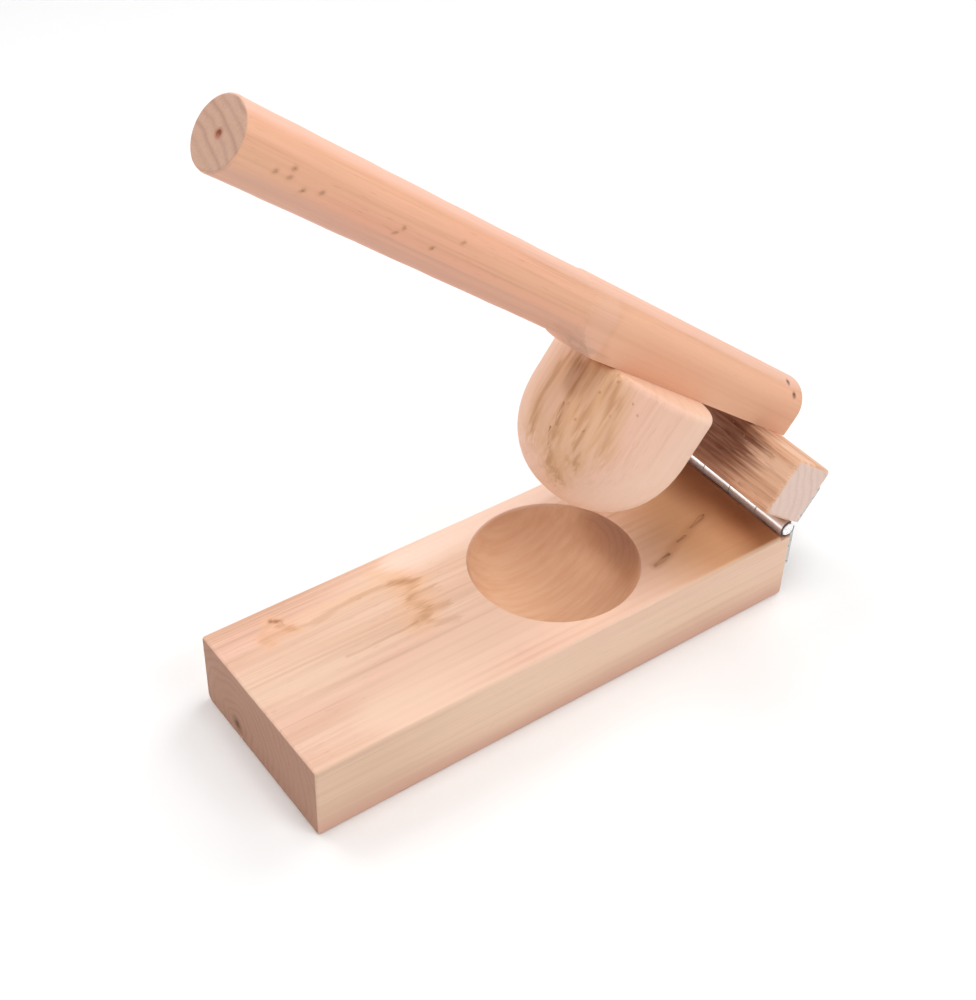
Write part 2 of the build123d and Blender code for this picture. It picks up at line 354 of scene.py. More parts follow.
def shape(piece, tools, operation="DIFFERENCE"):
    """Cuts a piece with its tools together, or keeps what it shares with them, and takes the tools away."""
    only(tools[0])
    for tool in tools:
        tool.select_set(True)
    if len(tools) > 1:
        bpy.ops.object.join()
    modifier = piece.modifiers.new("shape", "BOOLEAN")
    modifier.operation = operation
    modifier.solver = "EXACT"
    modifier.use_self = len(tools) > 1
    modifier.object = tools[0]
    only(piece)
    bpy.ops.object.modifier_apply(modifier=modifier.name)
    bpy.data.objects.remove(tools[0])


def turn_to(piece, axis, place):
    """Turns a piece made about z so that it runs along another axis, from a place."""
    only(piece)
    turn = Vector((0, 0, 1)).rotation_difference(Vector(axis)).to_matrix().to_4x4()
    piece.matrix_world = Matrix.Translation(place) @ turn
    apply_place()
    return piece


# How far outside the wood the tool of a crack starts
CUT_LEAD = 0.6


def crack_width(step, last):
    """The share of a crack's width at one of its points: narrow at both ends and uneven between them."""
    return 0.3 + 0.7 * sin(pi * step / last) * (0.7 + 0.3 * cos(5.0 * step))


def crack(points, width, depth, inward):
    """A tool for a crack: a ribbon laid along the points, narrow at both ends, then given depth."""
    inward = Vector(inward).normalized()
    points = [Vector(point) - inward * CUT_LEAD for point in points]
    along = (points[-1] - points[0]).normalized()
    aside = inward.cross(along).normalized()
    turn = Matrix((aside.cross(-inward), aside, -inward)).transposed()
    last = len(points) - 1
    widths = [width * crack_width(step, last) for step in range(last + 1)]
    select_none()
    size = (0.5 * widths[0], widths[0], 1.0)
    bpy.ops.mesh.primitive_plane_add(size=1.0, location=points[0], rotation=turn.to_euler(), scale=size)
    tool = added("crack_tool")
    edit(tool)
    choose("VERT", lambda vertex: (vertex.co - points[0]).dot(along) > 0)
    place = points[0] + along * size[0] / 2
    for step in range(1, last + 1):
        extrude(points[step] - place)
        change = widths[step] / widths[step - 1]
        resize((change,) * 3, points[step])
        place = points[step]
    select_mesh()
    extrude(inward * (CUT_LEAD + depth))
    face_outwards()
    close_edit()
    return tool


def pit(place, size):
    """A tool for a small oval hole."""
    select_none()
    bpy.ops.mesh.primitive_ico_sphere_add(subdivisions=2, radius=1.0, location=place, scale=size)
    tool = added("pit_tool")
    edit(tool)
    bpy.ops.transform.vertex_random(offset=0.12 * min(size), seed=int(abs(place[0]) * 10) % 97)
    close_edit()
    return tool


def settle(piece, directions, material, body, nodes, smooth=34):
    """Puts a finished piece in the frame, on its body and in place of its nodes."""
    only(piece)
    piece.matrix_world = directions @ Matrix.Scale(MM, 4)
    apply_place()
    bpy.ops.object.shade_smooth_by_angle(angle=radians(smooth))
    even = piece.modifiers.new("even_normals", "WEIGHTED_NORMAL")
    even.keep_sharp = True
    bpy.ops.object.modifier_apply(modifier=even.name)
    piece.data.materials.clear()
    piece.data.materials.append(material)
    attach(piece, body)
    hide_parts(*nodes)


# Finishes


def seen(red, green, blue):
    """A colour given as a screen shows it, 0 to 255, in the renderer's linear values."""
    return tuple(((value / 255 + 0.055) / 1.055) ** 2.4 for value in (red, green, blue))


class Finish:
    """A material being made, with short calls for the nodes that it needs."""

    def __init__(self, name):
        self.material = bpy.data.materials.new(name)
        self.material.use_nodes = True
        self.tree = self.material.node_tree
        self.shader = self.tree.nodes["Principled BSDF"]
        self.coordinates = self.tree.nodes.new("ShaderNodeTexCoord")
        self.place = self.coordinates.outputs["Object"]

    def put(self, socket, value):
        """Links an output to a socket, or sets its own value. A colour of three numbers is as on a screen."""
        if isinstance(value, bpy.types.NodeSocket):
            self.tree.links.new(value, socket)
        elif socket.type == "RGBA" and len(value) == 3:
            socket.default_value = (*seen(*value), 1.0)
        else:
            socket.default_value = value

    def math(self, operation, a, b=0.0, clamp=False):
        node = self.tree.nodes.new("ShaderNodeMath")
        node.operation = operation
        node.use_clamp = clamp
        self.put(node.inputs[0], a)
        self.put(node.inputs[1], b)
        return node.outputs[0]

    def times(self, a, b):
        return self.math("MULTIPLY", a, b)

    def vector(self, operation, a, b=(0.0, 0.0, 0.0), scale=1.0):
        node = self.tree.nodes.new("ShaderNodeVectorMath")
        node.operation = operation
        self.put(node.inputs[0], a)
        self.put(node.inputs[1], b)
        if operation == "SCALE":
            self.put(node.inputs["Scale"], scale)
        return node.outputs["Value" if operation in ("DOT_PRODUCT", "LENGTH", "DISTANCE") else "Vector"]

    def noise(self, place, cells, detail=2.0, roughness=0.5, output="Fac"):
        """Noise with its own number of cells to the metre in each of the three directions."""
        node = self.tree.nodes.new("ShaderNodeTexNoise")
        self.put(node.inputs["Vector"], self.vector("MULTIPLY", place, cells))
        node.inputs["Scale"].default_value = 1.0
        node.inputs["Detail"].default_value = detail
        node.inputs["Roughness"].default_value = roughness
        return node.outputs[output]

    def spread(self, value, low, high, to_low=0.0, to_high=1.0, smooth=True):
        """Maps low..high to to_low..to_high, and holds it there beyond."""
        node = self.tree.nodes.new("ShaderNodeMapRange")
        node.interpolation_type = "SMOOTHSTEP" if smooth else "LINEAR"
        node.clamp = True
        sockets = ("Value", "From Min", "From Max", "To Min", "To Max")
        for name, given in zip(sockets, (value, low, high, to_low, to_high)):
            self.put(node.inputs[name], given)
        return node.outputs["Result"]

    def ramp(self, value, stops):
        node = self.tree.nodes.new("ShaderNodeValToRGB")
        self.put(node.inputs["Fac"], value)
        elements = node.color_ramp.elements
        while len(elements) < len(stops):
            elements.new(0.5)
        for element, (at, shade) in zip(elements, stops):
            element.position = at
            element.color = (shade, shade, shade, 1.0)
        return node.outputs["Color"]

    def mix(self, share, a, b):
        node = self.tree.nodes.new("ShaderNodeMix")
        node.data_type = "RGBA"
        colours = [socket for socket in node.inputs if socket.type == "RGBA"]
        self.put(node.inputs["Factor"], share)
        self.put(colours[0], a)
        self.put(colours[1], b)
        return next(socket for socket in node.outputs if socket.type == "RGBA")

    def least(self, distances):
        nearest, *others = distances
        for distance in others:
            nearest = self.math("MINIMUM", nearest, distance)
        return nearest

    def away_from_line(self, points, place):
        """The distance in metres from a broken line."""
        distances = []
        for start, end in zip(points, points[1:]):
            run = end - start
            offset = self.vector("SUBTRACT", place, start)
            share = self.vector("DOT_PRODUCT", offset, run)
            share = self.math("MULTIPLY", share, 1 / run.length_squared, clamp=True)
            distances.append(self.vector("DISTANCE", offset, self.vector("SCALE", run, scale=share)))
        return self.least(distances)

    def away_from_points(self, points, place, stretch):
        """The distance in metres from the nearest of some points, with directions stretched as given."""
        place = self.vector("MULTIPLY", place, stretch)
        points = [Vector(a * b for a, b in zip(point, stretch)) for point in points]
        return self.least([self.vector("DISTANCE", place, point) for point in points])

    def relief(self, height, strength, distance):
        """Shades the surface as if it were raised by a height, by a distance in metres at most."""
        bump = self.tree.nodes.new("ShaderNodeBump")
        bump.inputs["Strength"].default_value = strength
        bump.inputs["Distance"].default_value = distance
        self.put(bump.inputs["Height"], height)
        self.tree.links.new(bump.outputs["Normal"], self.shader.inputs["Normal"])


# How much late wood there is across one ring, from its inner side to its outer
RING_PROFILE = [(0.0, 0.35), (0.18, 0.0), (0.55, 0.1), (0.88, 1.0), (1.0, 0.35)]


class Wood(Finish):
    """Solid wood in a grain's own directions: z along the grain, and the heart of the tree at x = y = 0."""

    def __init__(self, name, grain, look):
        super().__init__(name)
        self.look = look
        self.end_mark = None
        turn = self.tree.nodes.new("ShaderNodeMapping")
        turn.vector_type = "TEXTURE"
        turn.inputs["Location"].default_value = grain.to_translation()
        turn.inputs["Rotation"].default_value = grain.to_euler("XYZ")
        self.tree.links.new(self.place, turn.inputs["Vector"])
        self.grain_place = turn.outputs["Vector"]
        self.grain_axis = grain.to_3x3() @ Vector((0, 0, 1))
        self.late = self.rings()
        self.fibre = self.grained((1100.0, 1100.0, 16.0), detail=3.0, roughness=0.65)
        self.streaks = self.grained((480.0, 480.0, 8.0), detail=2.0)
        self.colour = look.early
        self.long_grain()

    def grained(self, cells, **more):
        """Noise that is drawn out along the grain."""
        return self.noise(self.grain_place, cells, **more)

    def rings(self):
        """How much late wood there is: thin uneven lines round the heart that wander along the tree."""
        look = self.look
        slow = self.grained(look.wander_cells, output="Color")
        shift = self.vector("SUBTRACT", slow, (0.5, 0.5, 0.5))
        moved = self.vector("ADD", self.grain_place, self.vector("SCALE", shift, scale=look.wander))
        across = self.vector("MULTIPLY", moved, (1.0, 1.0, 0.0))
        count = self.times(self.vector("LENGTH", across), 1 / look.ring_width)
        uneven = self.noise(across, (70.0, 70.0, 0.0), detail=1.0)
        count = self.math("ADD", count, self.times(uneven, look.uneven))
        line = self.ramp(self.math("FRACT", count), RING_PROFILE)
        each = self.tree.nodes.new("ShaderNodeTexWhiteNoise")
        each.noise_dimensions = "1D"
        self.put(each.inputs["W"], self.math("FLOOR", count))
        strength = self.spread(each.outputs["Value"], 0.0, 1.0, 0.3, 1.0, smooth=False)
        return self.times(line, strength)

    def long_grain(self):
        """Lays what shows along the grain: patches, bands, rings, fine lines, streaks, fibres and pores."""
        look = self.look
        broad = self.grained((24.0, 24.0, 6.0))
        bands = self.grained((75.0, 75.0, 4.0))
        seen_rings = self.spread(self.grained((30.0, 30.0, 9.0)), 0.35, 0.62, 0.15, 1.0)
        fine = self.spread(self.grained((800.0, 800.0, 5.0), detail=1.0), 0.52, 0.68)
        lined = self.spread(self.grained((26.0, 26.0, 7.0)), 0.42, 0.62)
        pores = self.grained((1700.0, 1700.0, 150.0), detail=0.0)
        self.lay(self.spread(broad, 0.38, 0.62), look.tint)
        self.lay(self.spread(bands, 0.45, 0.7, 0.0, look.bands), look.band)
        self.lay(self.times(self.times(self.late, seen_rings), look.ring_strength), look.late)
        self.lay(self.times(self.times(fine, lined), look.lines), look.late)
        self.lay(self.spread(self.streaks, 0.48, 0.72, 0.0, look.streak), look.late)
        self.lay(self.spread(self.fibre, 0.4, 0.75, 0.0, look.fibre), look.late)
        self.lay(self.spread(pores, 0.7, 0.82, 0.0, look.pores), look.pore)

    def beyond(self, axis, start, full):
        """How far a place lies past a start along an axis, in millimetres, as 0 to 1."""
        split = self.tree.nodes.new("ShaderNodeSeparateXYZ")
        self.put(split.inputs[0], self.place)
        return self.spread(split.outputs[axis], start * MM, full * MM)

    def reach(self, directions):
        """How far a place lies along the x of a piece's own directions, in metres."""
        offset = self.vector("SUBTRACT", self.place, directions.to_translation())
        return self.vector("DOT_PRODUCT", offset, directions.to_3x3() @ Vector((1, 0, 0)))

    def lay(self, share, colour):
        self.colour = self.mix(share, self.colour, colour)

    def tone(self, distance, near, far, colour, strength, streaky=0.0, within=1.0):
        """Lays a colour over the wood where a distance is small, more or less broken up by the grain."""
        share = self.times(self.spread(distance, near * MM, far * MM, strength, 0.0), within)
        if streaky:
            share = self.times(share, self.spread(self.streaks, 0.38, 0.6, 1.0 - streaky, 1.0))
        self.lay(share, colour)

    def along(self, directions, place, tones, within=1.0):
        """Lays tones along lines, one after the other. Each has its line of points, how near the line it is
        full and how far off it ends, its colour, its strength, and how much the grain breaks it up."""
        for points, near, far, colour, strength, streaky in tones:
            distance = self.away_from_line(on(directions, points), place)
            self.tone(distance, near, far, colour, strength, streaky, within)

    def spots(self, directions, place, points, tones):
        """Lays tones round points, one after the other, each given as for a line."""
        distance = self.away_from_points(on(directions, points), place, (1.0, 1.0, 1.0))
        for near, far, colour, strength in tones:
            self.tone(distance, near, far, colour, strength)
        return distance

    def ragged(self, across, along):
        """The place with some wandering added, so that what is drawn on it frays along the grain."""
        slow = self.grained((120.0, 120.0, 60.0), detail=1.0, output="Color")
        aside = self.vector("SCALE", self.vector("SUBTRACT", slow, (0.5, 0.5, 0.5)), scale=2 * across * MM)
        fray = self.grained((600.0, 600.0, 22.0), detail=2.0)
        forth = self.times(self.math("SUBTRACT", fray, 0.5), 4 * along * MM)
        shift = self.vector("ADD", aside, self.vector("SCALE", self.grain_axis, scale=forth))
        return self.vector("ADD", self.place, shift)

    def finish(self):
        """Adds the end grain, the gloss and the relief."""
        look = self.look
        along = self.vector("DOT_PRODUCT", self.coordinates.outputs["Normal"], self.grain_axis)
        end = self.spread(self.math("ABSOLUTE", along), look.end_from, 0.99, 0.0, look.end_strength)
        stipple = self.grained((1600.0, 1600.0, 40.0), detail=2.0, roughness=0.7)
        end_colour = self.mix(self.times(self.late, look.end_rings), look.end, look.end_late)
        end_colour = self.mix(self.spread(stipple, 0.45, 0.75, 0.0, 0.35), end_colour, look.end_late)
        if self.end_mark:
            end_colour = self.mix(self.end_mark[0], end_colour, self.end_mark[1])
        colour = self.mix(end, self.colour, end_colour)
        self.relief(self.math("ADD", self.fibre, self.times(self.late, 0.5)), look.bump, 0.15 * MM)
        self.put(self.shader.inputs["Base Color"], colour)
        self.put(self.shader.inputs["Roughness"], self.spread(self.fibre, 0.3, 0.7, 0.52, 0.66))
        self.shader.inputs["Specular IOR Level"].default_value = 0.3
        return self.material


def look(**changes):
    """The usual pale wood, with what differs on one piece: its rings, its colours and how much each shows."""
    usual = dict(
        ring_width=3 * MM, wander=8 * MM, wander_cells=(14, 14, 3), uneven=1.4, ring_strength=0.55,
        early=(241, 206, 181), tint=(240, 195, 174), late=(200, 150, 120), band=(224, 178, 148), bands=0.5,
        lines=0.5, streak=0.25, fibre=0.2, pores=0.15, pore=(150, 98, 68), end=(190, 142, 118),
        end_late=(146, 100, 78), end_rings=0.5, end_strength=0.92, end_from=0.72, bump=0.2,
    )
    return SimpleNamespace(**{**usual, **changes})


def on(directions, points):
    """Points given in a piece's own directions, in metres in the frame."""
    return [directions @ (Vector(point).to_3d() * MM) for point in points]


def board_finish():
    heart = Vector((BOARD_LOW.x, *END_KNOT))
    grain = shifted(*heart) @ Matrix.Rotation(radians(90), 4, "Y")
    wood = Wood("board_wood", grain, look(
        ring_width=4.2 * MM, uneven=1.8, end=(173, 127, 104), end_late=(140, 97, 75), end_rings=0.42,
    ))
    soft, frayed = wood.ragged(0.8, 0.6), wood.ragged(1.2, 5.0)
    close, torn = wood.ragged(0.12, 0.1), wood.ragged(0.5, 1.6)
    ginger, brown, dark = (237, 186, 146), (200, 146, 108), (116, 74, 48)
    on_the_top = wood.beyond("Z", BOARD_TOP - 2.5, BOARD_TOP - 0.6)
    near_side_painted_shade = wood.beyond("Y", BOARD_LOW.y + 1.6, BOARD_LOW.y + 0.4)
    wood.along(TOP, frayed, [(PALE_PART, 6, 26, (243, 207, 183), 0.75, 0.0)], on_the_top)
    # Painted shade: the lever's soft shadow over the rear of the top, and a deeper band of painted shade
    # along the rear edge under the crossbar
    wood.along(TOP, wood.place, [
        (REAR_PAINTED_SHADE, 24, 76, (205, 152, 108), 0.92, 0.0),
        (REAR_EDGE_PAINTED_SHADE, 3, 21, (146, 84, 46), 0.7, 0.0),
    ], on_the_top)
    # Painted shade on the near side: darker than the top face, and darker still towards the front end and
    # towards the bottom
    wood.lay(wood.times(near_side_painted_shade, 0.5), (232, 202, 176))
    wood.along(TOP, frayed, [(FRONT_EDGE, 20, 90, (212, 174, 148), 0.6, 0.4)], near_side_painted_shade)
    wood.lay(wood.times(near_side_painted_shade, wood.beyond("Z", 12, 2)), (216, 172, 150))
    wood.along(TOP, frayed, [(FAR_STRIP, 2.5, 13.0, (254, 222, 204), 0.7, 0.0)], on_the_top)
    wood.along(TOP, frayed, [
        (BEHIND_LONG_LINE, 0.5, 7.0, (244, 200, 164), 0.35, 0.0),
        (FLAME_TOP, 0.5, 8.0, ginger, 0.35, 0.0),
        (FLAME, 1.0, 13.0, ginger, 0.6, 0.0),
        (LONG_LINE, 0.3, 2.6, brown, 0.55, 0.4),
        (FLAME, 0.8, 5.0, brown, 0.5, 0.5),
        (FLAME_HEAD, 0.5, 3.6, (190, 134, 96), 0.5, 0.4),
    ])
    wood.along(TOP, soft, [(FLAME_FOOT, 0.1, 1.4, (190, 138, 104), 0.45, 0.4)])
    wood.along(TOP, frayed, [(arm, 0.4, 3.0, brown, 0.45, 0.5) for arm in FLAME_ARMS])
    for stroke, strength in ((KNOT_TIP, 0.14), (KNOT_UPPER, 0.5), (KNOT_LOWER, 0.32)):
        wood.along(TOP, torn, [
            (stroke, 0.5, 5.5, (238, 186, 150), 0.5, 0.0),
            (stroke, 0.3, 3.0, (188, 128, 90), strength, 0.5),
        ])
    wood.spots(TOP, soft, KNOT_UPPER[:2], [(0.3, 1.8, (150, 96, 64), 0.5)])
    wood.along(TOP, close, [(CRACK, 0.4, 4.0, (176, 122, 82), 0.4, 0.0)])
    for first, last, wide, _ in CRACK_PIECES:
        wood.along(TOP, torn, [(CRACK[first : last + 1], 0.1, 4.0 * wide, dark, 0.65, 0.7)])
    knot = wood.away_from_points([heart * MM], soft, (0.15, 1.0, 1.0))
    wood.tone(knot, 0.8, 4.0, dark, 0.85)
    wood.end_mark = wood.spread(knot, 0.6 * MM, 6.0 * MM, 0.8, 0.0), (108, 70, 48)
    deep = wood.math("SUBTRACT", 1.0, wood.beyond("Z", BOARD_TOP - 2.5, BOARD_TOP - 0.3))
    aside = wood.vector("DISTANCE", wood.vector("MULTIPLY", wood.place, (1, 1, 0)), (BOWL_X * MM, 0, 0))
    in_mouth = wood.spread(aside, (BOWL_RADIUS + 0.2) * MM, (BOWL_RADIUS + 0.7) * MM, 0.96, 0.0)
    in_bowl = wood.times(deep, in_mouth)
    stripes = wood.grained((120.0, 420.0, 24.0), detail=4.0, roughness=0.6)
    bowl_colour = wood.mix(wood.spread(stripes, 0.3, 0.7), (236, 196, 162), (228, 181, 145))
    wood.lay(in_bowl, bowl_colour)
    # Painted shade: the bowl's rear wall is darkened where the plunger and the rim keep light off it
    bowl_rear_painted_shade = [(BOWL_X + 33, -14, -8), (BOWL_X + 33, 12, -8)]
    wood.along(TOP, soft, [(bowl_rear_painted_shade, 3, 17, (186, 130, 92), 0.6, 0.0)], in_bowl)
    return wood.finish()


def handle_finish():
    grain = HANDLE @ shifted(0, 17, -57) @ Matrix.Rotation(radians(90), 4, "Y")
    wood = Wood("handle_wood", grain, look(
        ring_width=4.2 * MM, wander=3 * MM, early=(230, 177, 145), tint=(230, 168, 140),
        late=(196, 138, 106), band=(214, 158, 126), ring_strength=0.35, lines=0.6,
        end=(198, 160, 138), end_late=(154, 116, 100), end_rings=0.6,
    ))
    rough, frayed = wood.ragged(0.4, 0.3), wood.ragged(0.8, 8.0)
    # Painted light and shade: a paler band along the top where the light falls, and a darker band along the
    # grip's underside
    wood.along(HANDLE, frayed, [
        (HANDLE_TOP_PAINTED_LIGHT, 4.5, 8.5, (232, 190, 172), 0.7, 0.3),
        (GRIP_UNDERSIDE_PAINTED_SHADE, 3.0, 8.5, (212, 166, 146), 0.75, 0.3),
        (GRIP_EDGE, 0.5, 3.0, (222, 160, 124), 0.5, 0.5),
    ])
    wood.along(HANDLE, rough, [(HEAD_SIDE, 9, 14, (234, 180, 146), 0.6, 0.2)])
    reach = wood.reach(HANDLE)
    shoulder = wood.times(wood.spread(reach, -70 * MM, -54 * MM), wood.spread(reach, -45 * MM, -49 * MM))
    wood.lay(wood.times(shoulder, 0.36), (230, 184, 160))
    # Painted shade under the shoulder, streaked by the grain
    wood.along(HANDLE, frayed, [(SHOULDER_UNDERSIDE_PAINTED_SHADE, 2.0, 7.0, (188, 146, 124), 0.6, 0.6)])
    specks = wood.away_from_points(on(HANDLE, HANDLE_SPECKS), wood.ragged(1.1, 0.6), (0.8, 1.0, 1.0))
    wood.tone(specks, 0.3, 1.3, (150, 102, 70), 0.5)
    wood.tone(specks, 0.6, 2.2, (200, 146, 112), 0.25)
    wood.spots(HANDLE, rough, HEAD_DENTS, [(0.8, 2.4, (140, 88, 70), 0.7)])
    dot_colour = (160, 92, 68)
    dot = wood.spots(HANDLE, rough, [HANDLE_DOT], [(1.4, 2.6, dot_colour, 0.9)])
    wood.end_mark = wood.spread(dot, 0.5 * MM, 2.6 * MM, 0.9, 0.0), dot_colour
    return wood.finish()


def plunger_finish():
    grain = LEVER @ shifted(-165, 25, 0)
    wood = Wood("plunger_wood", grain, look(
        ring_width=5.5 * MM, wander=7 * MM, early=(240, 202, 178), tint=(238, 192, 170),
        late=(208, 160, 128), band=(228, 184, 156), ring_strength=0.3, fibre=0.1, lines=0.1,
        streak=0.2, end=(234, 190, 160), end_late=(214, 166, 134), end_strength=0.6, end_rings=0.4,
    ))
    soft, frayed, close = wood.ragged(1.0, 1.0), wood.ragged(2.0, 6.0), wood.ragged(0.12, 0.1)
    ginger, brown, dark = (215, 164, 118), (176, 118, 72), (118, 76, 50)
    wood.streaks = wood.grained((420.0, 420.0, 45.0), detail=3.0)
    wood.along(LEVER, frayed, [(line, 2.0, 11.0, ginger, 0.6, 0.3) for line in PLUNGER_STRIPES])
    wood.along(LEVER, frayed, [(line, 0.3, 4.5, brown, 0.5, 0.7) for line in PLUNGER_STRIPES])
    wood.along(LEVER, frayed, [(PLUNGER_PALE, 8, 26, (242, 205, 182), 0.65, 0.0)])
    # Painted shadow of the handle along the plunger's top, and at its left a brown streak of the wood
    # darkened further by painted shadow
    wood.along(LEVER, soft, [
        (PLUNGER_PAINTED_SHADOW, 0.5, 9.0, (196, 140, 94), 0.5, 0.3),
        (PLUNGER_BROWN_STREAK_AND_SHADOW, 1.0, 8.0, (140, 84, 40), 0.55, 0.3),
    ])
    wood.along(LEVER, close, [(line, 0.1, 0.8, dark, 0.5, 0.7) for line in PLUNGER_CRACKS])
    wood.spots(LEVER, soft, PLUNGER_SPECKS, [(0.2, 0.9, brown, 0.5)])
    return wood.finish()


def crossbar_finish():
    grain = LEVER @ shifted(-60, 0, -20) @ Matrix.Rotation(radians(-90), 4, "X")
    wood = Wood("crossbar_wood", grain, look(
        ring_width=4.5 * MM, wander=5 * MM, early=(238, 198, 168), tint=(234, 184, 152),
        late=(178, 118, 80), band=(212, 154, 114), ring_strength=0.35, lines=0.3, streak=0.45,
        fibre=0.4, pores=0.35, end=(230, 204, 192), end_late=(204, 176, 168),
    ))
    frayed = wood.ragged(1.0, 9.0)
    wood.streaks = wood.grained((650.0, 650.0, 60.0), detail=3.0)
    # Painted shadow of the handle on the crossbar's front, partly also the dark brown streaks of its wood
    wood.along(LEVER, frayed, [(CROSSBAR_PAINTED_SHADOW, 7, 26, (104, 50, 18), 0.92, 0.15)])
    return wood.finish()


def dowel_finish():
    grain = LEVER @ shifted(-60, 30, 0)
    return Wood("dowel_wood", grain, look(late=(205, 160, 120))).finish()


def steel_finish(name, colour, brushed, barrel_highlight=None):
    """Plated steel, faintly brushed. Knuckles can be given a near-white colour, a painted highlight in place
    of their bright reflection, with a dark ring of painted shade on their outer ends. Both colours are the
    renderer's own values."""
    steel = Finish(name)
    scratches = steel.noise(steel.place, brushed, detail=3.0)
    stain = steel.noise(steel.place, (90.0, 60.0, 90.0), detail=2.0)
    steel.shader.inputs["Metallic"].default_value = 0.7
    darker = tuple(0.9 * value for value in colour)
    shade = steel.mix(steel.spread(stain, 0.45, 0.7), colour, darker)
    # Painted highlight: the knuckles are near white; painted shade: a dark ring on their outer end faces
    if barrel_highlight:
        out = steel.vector("ABSOLUTE", steel.vector("SUBTRACT", steel.place, PIVOT))
        from_axis = steel.vector("LENGTH", steel.vector("MULTIPLY", out, (1.0, 0.0, 1.0)))
        along = steel.vector("DOT_PRODUCT", out, (0.0, 1.0, 0.0))
        near = steel.spread(from_axis, (KNUCKLE_RADIUS + 0.3) * MM, (KNUCKLE_RADIUS + 0.15) * MM)
        shade = steel.mix(near, shade, barrel_highlight)
        end = HINGE_LENGTH / 2 - KNUCKLE_GAP
        ends = steel.spread(along, (end - 0.25) * MM, (end - 0.05) * MM)
        ring = steel.spread(from_axis, PIN_HEAD_RADIUS * MM, (PIN_HEAD_RADIUS + 0.1) * MM)
        shade = steel.mix(steel.times(ends, steel.times(ring, near)), shade, (70, 56, 58))
    steel.put(steel.shader.inputs["Base Color"], shade)
    dullness = steel.spread(scratches, 0.25, 0.75, 0.25, 0.37)
    steel.put(steel.shader.inputs["Roughness"], dullness)
    steel.relief(scratches, 0.05, 0.05 * MM)
    return steel.material


# Pieces


def arc_points(centre, radius, start, turn, steps):
    """Points of an arc in the plane of radius and height, from a start angle over a turn, in degrees."""
    angles = [radians(start + turn * step / steps) for step in range(steps + 1)]
    return [(centre[0] + radius * cos(angle), centre[1] + radius * sin(angle)) for angle in angles]


def bowl_tool():
    """The bowl's hollow: part of a ball, with the rounded rim turned outwards at its mouth."""
    ball = (BOWL_RADIUS**2 + BOWL_DEPTH**2) / (2 * BOWL_DEPTH)
    centre = BOARD_TOP - BOWL_DEPTH + ball
    rim_drop = centre - (BOARD_TOP - BOWL_RIM)
    rim_out = sqrt((ball + BOWL_RIM) ** 2 - rim_drop**2)
    wall_angle = degrees(atan2(rim_drop, rim_out))
    rim = arc_points((rim_out, BOARD_TOP - BOWL_RIM), BOWL_RIM, 90, 90 - wall_angle, 5)
    hollow = arc_points((0, centre), ball, -wall_angle, wall_angle - 90, 26)[1:-1]
    mouth = [(rim_out + 0.3, BOARD_TOP + 6), (rim_out + 0.3, BOARD_TOP + 0.02)]
    outline = mouth + rim + hollow + [(0, BOARD_TOP - BOWL_DEPTH)]
    return turn_to(turned("bowl_tool", outline, sides=128), (0, 0, 1), (BOWL_X, 0, 0))


def at_screws(outline, sides, up):
    """Tools turned from one outline, one for each screw of a row, from the hinge axis."""
    return [
        turn_to(turned("screw_tool", outline, sides), (1, 0, 0), (0, y, up * out)) for y, out in SCREW_SPOTS
    ]


def pilot_tools(up):
    """The pilot holes of one row of screws."""
    tip = LEAF_SEAT - SCREW_LENGTH
    return at_screws([(SCREW_RADIUS, LEAF_SEAT + 1), (SCREW_RADIUS, tip + 1.5), (0, tip)], 24, up)


def make_board(material):
    """Plank with hand-eased edges, the bowl, the step for the knuckles, and the marks of its wood."""
    uneven = BOARD_UNEVENNESS
    low, high = BOARD_LOW + Vector((uneven, uneven, 0)), BOARD_HIGH - Vector((0, uneven, 0))
    board = block("board", low, high)
    edit(board)
    slice_at(0, [low.x + (high.x - low.x) * step / 14 + 2.5 * sin(7.0 * step) for step in range(1, 14)])
    choose("VERT", lambda vertex: vertex.co.z > 1 and vertex.co.x < high.x - 1)
    bpy.ops.transform.vertex_random(offset=uneven, seed=3)
    choose("VERT", lambda vertex: vertex.co.z > BOARD_TOP / 2)
    resize((1, 1, 0), (0, 0, BOARD_TOP))
    choose("EDGE", lambda edge: runs_along(edge, 0) and middle_of(edge).y > 40 and middle_of(edge).z < 5)
    round_edges(BOARD_UNDER_EASE, 6)
    choose("EDGE", lambda edge: runs_along(edge, 0) and edge.calc_face_angle(0) > radians(60))
    round_edges(BOARD_LONG_EASE, 5)
    ease_sharp(BOARD_END_EASE, 4)
    close_edit()
    shape(board, [bowl_tool()])
    step_x, step_z = PIVOT.x / MM - KNUCKLE_RELIEF, PIVOT.z / MM - KNUCKLE_RELIEF
    shape(board, [block("step_tool", (step_x, -60, step_z), (140, 60, 60))])
    pilots = pilot_tools(-1)
    for tool in pilots:
        turn_to(tool, (0, 0, 1), PIVOT / MM)
    shape(board, pilots)
    strokes = [(CRACK[first : last + 1], wide, deep) for first, last, wide, deep in CRACK_PIECES]
    strokes += [(KNOT_UPPER[:3], 0.15, 0.15)]
    tools = []
    for line, wide, deep in strokes:
        tools.append(crack([(*point, BOARD_TOP) for point in line], wide, deep, (0, 0, -1)))
    shape(board, tools)
    y, z = END_KNOT
    end_crack = [(low.x, y + 0.4, z + 1), (low.x, y - 1.4, z - 2.2), (low.x, y - 3.4, z - 5)]
    tools = [pit((low.x, y, z), (0.8, 1.1, 1.5)), crack(end_crack, 0.5, 0.9, (1, 0, 0))]
    tools += [pit((*spot, BOARD_TOP), (1.3, 0.35, 0.25)) for spot in TOP_DENTS]
    shape(board, tools)
    settle(board, Matrix.Identity(4), material, "base", ["base_board"])


